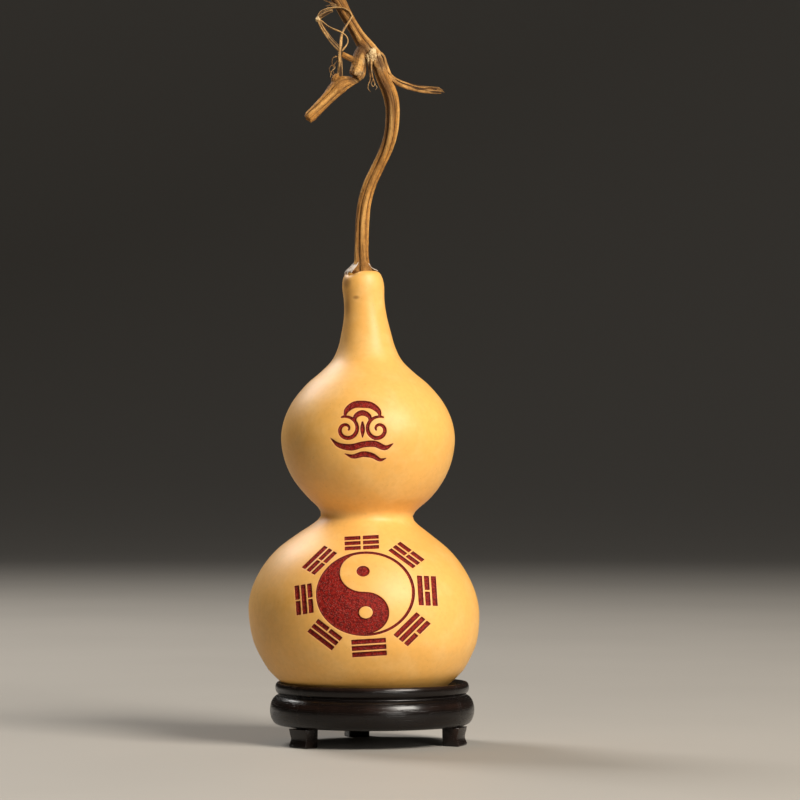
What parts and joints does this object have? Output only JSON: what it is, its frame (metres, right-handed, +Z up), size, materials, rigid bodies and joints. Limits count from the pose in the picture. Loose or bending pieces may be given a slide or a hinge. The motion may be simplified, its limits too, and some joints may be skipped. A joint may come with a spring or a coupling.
{
  "type": "dried bottle gourd",
  "caption": "Dried bottle gourd with carved lobes, its S-curved stalk and a piece of vine, resting in a dark turned wooden stand on small feet.",
  "frame": {"origin": "on the surface that the stand rests on, under the middle of the gourd's lower lobe", "axes": "+Z up along the gourd, -Y the carved front, +X to the right as seen from the front"},
  "size_m": [0.1103, 0.1102, 0.3626],
  "materials": {
    "gourd_shell": "satin",
    "dried_vine": "matte",
    "dark_wood": "satin"
  },
  "bodies": {
    "root": {"gourd": "gourd_shell", "vine": "dried_vine", "stand_ring": "dark_wood", "stand_foot_front_left": "dark_wood", "stand_foot_right": "dark_wood", "stand_foot_back": "dark_wood"}
  },
  "joints": []
}
